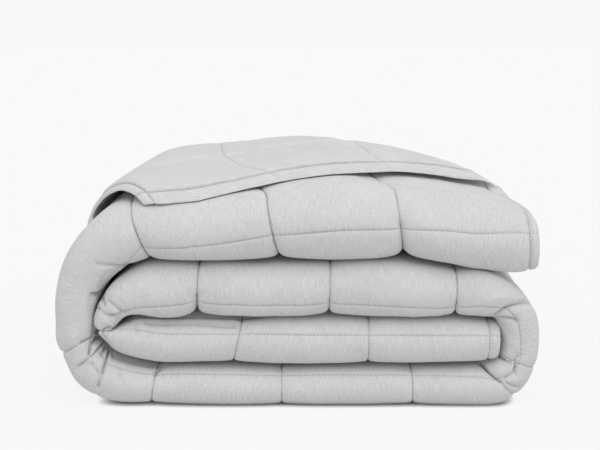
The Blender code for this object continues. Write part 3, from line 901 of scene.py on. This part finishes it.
def woven_linen(colours, sizes):
    """Washed woven linen: slubby yarns give faint streaks along both threads, and no gloss; shade is
    painted into its needle holes and along the hem stitching of the turned-over corner.
    """
    # the rough fibres scatter the light widely and give a trace of pale sheen at grazing angles
    material, tree, shader = new_material("washed_woven_linen", {
        "Roughness": 0.92, "Sheen Weight": 0.12, "Specular IOR Level": 0.25})
    cloth = add_node(tree, "ShaderNodeUVMap", {"uv_map": "cloth"})
    parts = add_node(tree, "ShaderNodeSeparateXYZ", _0=cloth)
    along_s, along_w = parts.outputs["X"], parts.outputs["Y"]
    # yarns about 0.7 mm apart are too fine to show, so their slubs are drawn near 1 mm wide
    weft = streaks(tree, cloth, WEFT_SLUB, True, YARN_DETAIL)
    warp = streaks(tree, cloth, WARP_SLUB, False, YARN_DETAIL)
    cloud = streaks(tree, cloth, CLOUD, False, CLOUD_DETAIL)
    yarns = add_node(tree, "ShaderNodeMath", {"operation": "MULTIPLY_ADD", 1: WEFT_SHARE},
                     _0=weft, _2=warp)
    tone = add_node(tree, "ShaderNodeMath", {"operation": "MULTIPLY_ADD", 1: CLOUD_SHARE},
                    _0=cloud, _2=yarns)
    ramp = add_node(tree, "ShaderNodeMapRange", {"From Min": TONE_LOW, "From Max": TONE_HIGH}, Value=tone)
    colour = add_node(tree, "ShaderNodeMix", {
        "data_type": "RGBA", MIX_A: linear(colours.yarn_dark), MIX_B: linear(colours.yarn_light)},
        Factor=ramp)
    # painted shade: the colour is darkened at the needle holes between the stitches, where the holes would
    # lie in shade
    holes = add_node(tree, "ShaderNodeMath", {"operation": "MAXIMUM"},
                     _0=hole_shade_mask(tree, along_s, along_w, sizes),
                     _1=hole_shade_mask(tree, along_w, along_s, sizes))
    marked = add_node(tree, "ShaderNodeMix", {"data_type": "RGBA", MIX_B: linear(colours.painted_stitch_shade)},
                      Factor=holes, _6=colour.outputs[MIX_RESULT])
    # painted shade: the hem's stitching on the turned-over corner lies in a narrow groove, and the colour
    # is darkened along it as if the groove stayed in the shade
    away = add_node(tree, "ShaderNodeMath", {"operation": "MINIMUM"},
                    _0=off_hem(tree, along_s, sizes), _1=off_hem(tree, along_w, sizes))
    groove = add_node(tree, "ShaderNodeMapRange",
                      {"From Max": HEM_SHADE_REACH * MM, "To Min": HEM_SHADE, "To Max": 0.0}, Value=away)
    on_corner = add_node(tree, "ShaderNodeMath", {"operation": "LESS_THAN", 1: ROLL_W}, _0=along_w)
    shade = add_node(tree, "ShaderNodeMath", {"operation": "MULTIPLY"}, _0=groove, _1=on_corner)
    shaded = add_node(tree, "ShaderNodeMix", {"data_type": "RGBA", MIX_B: linear(colours.painted_stitch_shade)},
                      Factor=shade, _6=marked.outputs[MIX_RESULT])
    tree.links.new(shaded.outputs[MIX_RESULT], shader.inputs["Base Color"])
    # the yarns stand a little proud, with finer fibres on them
    fine = streaks(tree, cloth, FIBRES, False, FIBRE_DETAIL)
    height = add_node(tree, "ShaderNodeMath", {"operation": "MULTIPLY_ADD", 1: FIBRE_SHARE},
                      _0=fine, _2=yarns)
    bump = add_node(tree, "ShaderNodeBump",
                    {"Strength": WEAVE_STRENGTH, "Distance": WEAVE_HEIGHT * MM}, Height=height)
    tree.links.new(bump.outputs["Normal"], shader.inputs["Normal"])
    return material


def sewing_thread(colours):
    """Spun polyester sewing thread: a little lighter and smoother than the linen."""
    # the twisted fibres catch a soft light along each stitch
    return new_material("spun_polyester_thread", {
        "Base Color": linear(colours.thread), "Roughness": 0.60, "Specular IOR Level": 0.40})[0]


def floor_with_painted_contact_shade(studio, colours):
    """Matte white painted studio floor: an even pale tone with no gloss, whose glow is dimmed by a painted
    shadow right under the quilt's edge.
    """
    paint, tree, shader = new_material("matte_white_floor_with_painted_contact_shade", {
        "Base Color": linear(colours.floor_grey), "Roughness": 1.0, "Specular IOR Level": 0.0,
        "Emission Color": linear(colours.floor)})
    # the lit floor looks even to the eye and gives less light back to the quilt; right under the quilt's
    # edge its glow is dimmed, a painted contact shadow that also gives the quilt less light there
    sight = add_node(tree, "ShaderNodeLightPath").outputs["Is Camera Ray"]
    glow = add_node(tree, "ShaderNodeMapRange",
                    {"To Min": studio.floor_return, "To Max": studio.floor_glow}, Value=sight)
    gap = add_node(tree, "ShaderNodeAmbientOcclusion",
                   {"samples": CONTACT_SAMPLES, "Distance": CONTACT_REACH})
    open_sky = add_node(tree, "ShaderNodeMapRange", {"From Max": CONTACT_OPEN}, Value=gap.outputs["AO"])
    given = add_node(tree, "ShaderNodeMath", {"operation": "MULTIPLY"}, _0=glow, _1=open_sky)
    tree.links.new(given.outputs[0], shader.inputs["Emission Strength"])
    return paint


def soft_surround(studio, colours):
    """Even white light from all around, seen as a pale backdrop."""
    world = bpy.data.worlds.new("soft_surround")
    world.use_nodes = True
    tree = world.node_tree
    tree.nodes.clear()
    sight = add_node(tree, "ShaderNodeLightPath").outputs["Is Camera Ray"]
    seen = add_node(tree, "ShaderNodeBackground", {"Color": linear(colours.backdrop), "Strength": 1.0})
    around = add_node(tree, "ShaderNodeBackground",
                      {"Color": linear(colours.light), "Strength": studio.surround})
    mix = add_node(tree, "ShaderNodeMixShader", _0=sight, _1=around, _2=seen)
    add_node(tree, "ShaderNodeOutputWorld", Surface=mix)
    return world


# ---- light and camera -----------------------------------------------------------------------

def soft_key(studio):
    """A broad, soft light from above and in front."""
    light = bpy.data.lights.new("soft_key", "SUN")
    light.energy = studio.key
    light.angle = KEY_SPREAD
    lamp = bpy.data.objects.new("soft_key", light)
    lamp.rotation_euler = KEY_FROM.to_track_quat("Z", "Y").to_euler()
    return lamp


def front_camera(studio):
    """A camera that looks at the quilt's front from a little above."""
    view = bpy.data.cameras.new("camera")
    view.lens = studio.focal
    view.sensor_width = FILM_WIDTH
    camera = bpy.data.objects.new("camera", view)
    middle_x = (CAD_BOX[0][0] + CAD_BOX[1][0]) / 2 + CENTRE_X
    front_y = CAD_BOX[0][1]
    camera.location = (middle_x, front_y - studio.distance, studio.height)
    aim = Vector((middle_x, front_y, studio.aim))
    camera.rotation_euler = (aim - camera.location).to_track_quat("-Z", "Y").to_euler()
    return camera


# ---- sizes, colours and steps of the add-on --------------------------------------------------

class QuiltSizes(bpy.types.PropertyGroup):
    """Sizes of the quilt's cloth and sewing."""

    side: FloatProperty(name="Side", description="Full side of the square quilt", default=2.276,
                        unit="LENGTH")
    box: FloatProperty(name="Box", description="Pitch of the square box stitching", default=0.150,
                       unit="LENGTH")
    hem: FloatProperty(name="Hem", description="Width of the sewn hem band", default=0.013, unit="LENGTH")
    stitch: FloatProperty(name="Stitch", description="Length of one stitch with its gap", default=0.004,
                          unit="LENGTH")
    thread: FloatProperty(name="Thread", description="Diameter of the sewing thread", default=0.0006,
                          unit="LENGTH")
    ply_gap: FloatProperty(name="Ply gap", description="Free space on each side of a ply", default=0.0006,
                           unit="LENGTH")
    seam_loft: FloatProperty(name="Seam loft", description="Thickness left at a stitch line",
                             default=0.24, subtype="FACTOR", min=0, max=1)
    hem_loft: FloatProperty(name="Hem loft", description="Thickness of the hem band", default=0.42,
                            subtype="FACTOR", min=0, max=1)
    pillow: FloatProperty(name="Pillow", description="How quickly a box rises from its stitching",
                          default=0.30)
    gather: FloatProperty(name="Gather", description="Height of the gathers along the stitching",
                          default=0.0008, unit="LENGTH")
    uneven: FloatProperty(name="Unevenness", description="Soft unevenness of the filling",
                          default=0.0009, unit="LENGTH")


class QuiltColours(bpy.types.PropertyGroup):
    """Colours as sRGB hex values."""

    yarn_light: StringProperty(name="Yarn, light", description="Lighter yarns", default="e6e6e6")
    yarn_dark: StringProperty(name="Yarn, dark", description="Darker yarns", default="c8c8c8")
    painted_stitch_shade: StringProperty(name="Needle hole", description="Shade in needle holes and in hem grooves",
                                default="a0a0a0")
    thread: StringProperty(name="Thread", description="Sewing thread", default="d2d2d2")
    floor: StringProperty(name="Floor", description="Lit studio floor", default="f9f9f9")
    floor_grey: StringProperty(name="Floor, unlit", description="What the floor gives back of other light",
                               default="595959")
    backdrop: StringProperty(name="Backdrop", description="Backdrop behind the floor", default="f8f8f8")
    light: StringProperty(name="Light", description="Light from all around", default="ffffff")


class StudioSettings(bpy.types.PropertyGroup):
    """Camera and light of the plain studio."""

    distance: FloatProperty(name="Distance", description="Camera to the quilt's front", default=1.400,
                            unit="LENGTH")
    height: FloatProperty(name="Height", description="Camera above the floor", default=0.435,
                          unit="LENGTH")
    aim: FloatProperty(name="Aim", description="Height of the point aimed at, at the quilt's front",
                       default=0.217, unit="LENGTH")
    focal: FloatProperty(name="Focal length", description="On a 36 mm wide sensor, in mm", default=74.8,
                         unit="CAMERA")
    floor_glow: FloatProperty(name="Floor glow", description="Even light of the floor as it is seen",
                              default=0.898)
    floor_return: FloatProperty(name="Floor return", description="Light the floor gives back to the quilt",
                                default=0.62)
    surround: FloatProperty(name="Surround", description="Even light from all around", default=0.65)
    key: FloatProperty(name="Key", description="Soft light from above and in front", default=1.15)


class QUILT_OT_cloth(bpy.types.Operator):
    """Build the folded, box-stitched linen"""

    bl_idname = "quilt.cloth"
    bl_label = "Quilted linen"

    def execute(self, context):
        sizes = context.scene.quilt_sizes
        linen = woven_linen(context.scene.quilt_colours, sizes)
        edges = [0.0] + stitch_lines(sizes) + [sizes.side]
        for name, first, last, ply_step, middle_step in STRETCHES:
            start, stop = edges[first], edges[last]
            s_lines = lines_across(lengthwise_zones(start, stop), sizes)
            w_lines = lines_across(crosswise_zones(ply_step, middle_step, sizes), sizes)
            piece = add_piece(net_mesh("quilt_" + name, s_lines, w_lines, sizes), "Folded quilt", linen)
            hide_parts("quilt")
        return {"FINISHED"}


class QUILT_OT_stitching(bpy.types.Operator):
    """Sew the beads of thread along the stitch lines that show"""

    bl_idname = "quilt.stitching"
    bl_label = "Stitching"

    def execute(self, context):
        sizes = context.scene.quilt_sizes
        thread = sewing_thread(context.scene.quilt_colours)
        hem, far, box = sizes.hem, sizes.side - sizes.hem, sizes.box
        low, high = FRONT_BAND
        # on the front: the lengthwise row, the second rows of both end hems, and every crosswise row
        front = [("s", hem + FRONT_ROW * box, hem, far, 1), ("w", far + HEM_SECOND_ROW, low, high, 1),
                 ("w", hem - HEM_SECOND_ROW, low, high, 1)]
        front += [("w", line, low, high, 1) for line in stitch_lines(sizes)]
        # on the flap: the front hem, the left hem, and the rows of the boxes that show
        flap = [("w", far, hem, ROLL_W - FLAP_HEM_SHORT, -1), ("s", hem, far - FLAP_SEEN, far, -1),
                ("w", far - box, hem, 2 * box, -1)]
        flap += [("s", hem + box * number, far - FLAP_SEEN * (1 - FLAP_ROW_LESS * number), far, -1)
                 for number in (1, 2)]
        for name, runs in (("stitching_front", front), ("stitching_flap", flap)):
            add_piece(stitch_mesh(name, runs, sizes), "Stitching", thread)
        return {"FINISHED"}


class QUILT_OT_studio(bpy.types.Operator):
    """Build the pale floor, the soft light and the camera"""

    bl_idname = "quilt.studio"
    bl_label = "Studio"

    def execute(self, context):
        scene, studio, colours = context.scene, context.scene.quilt_studio, context.scene.quilt_colours
        bpy.ops.mesh.primitive_circle_add(vertices=FLOOR_SIDES, radius=FLOOR_RADIUS, fill_type="NGON")
        floor = context.active_object
        floor.name = "studio_floor"
        floor.data.materials.append(floor_with_painted_contact_shade(studio, colours))
        scene.world = soft_surround(studio, colours)
        lamp, camera = soft_key(studio), front_camera(studio)
        for item in (lamp, camera):
            scene.collection.objects.link(item)
        scene.camera = camera
        scene.view_settings.view_transform = "Standard"
        return {"FINISHED"}


class QUILT_PT_panel(bpy.types.Panel):
    """Sizes, colours and building steps of the quilt"""

    bl_idname = "QUILT_PT_panel"
    bl_label = "Folded linen quilt"
    bl_space_type = "VIEW_3D"
    bl_region_type = "UI"
    bl_category = "Quilt"

    def draw(self, context):
        for group in (context.scene.quilt_sizes, context.scene.quilt_colours, context.scene.quilt_studio):
            for name in group.__annotations__:
                self.layout.prop(group, name)
        for step in STEPS:
            self.layout.operator(step.bl_idname)


GROUPS = (("quilt_sizes", QuiltSizes), ("quilt_colours", QuiltColours), ("quilt_studio", StudioSettings))
STEPS = (QUILT_OT_cloth, QUILT_OT_stitching, QUILT_OT_studio)


def register():
    """Register the settings, the steps and the panel."""
    for name, group in GROUPS:
        bpy.utils.register_class(group)
        setattr(bpy.types.Scene, name, PointerProperty(type=group))
    for kind in STEPS + (QUILT_PT_panel,):
        bpy.utils.register_class(kind)


def unregister():
    """Take them out again in the opposite order."""
    for kind in (QUILT_PT_panel,) + STEPS[::-1]:
        bpy.utils.unregister_class(kind)
    for name, group in GROUPS[::-1]:
        delattr(bpy.types.Scene, name)
        bpy.utils.unregister_class(group)


def main():
    """Build everything."""
    register()
    bpy.ops.quilt.cloth()
    bpy.ops.quilt.stitching()
    bpy.ops.quilt.studio()


if __name__ == "__main__":
    main()
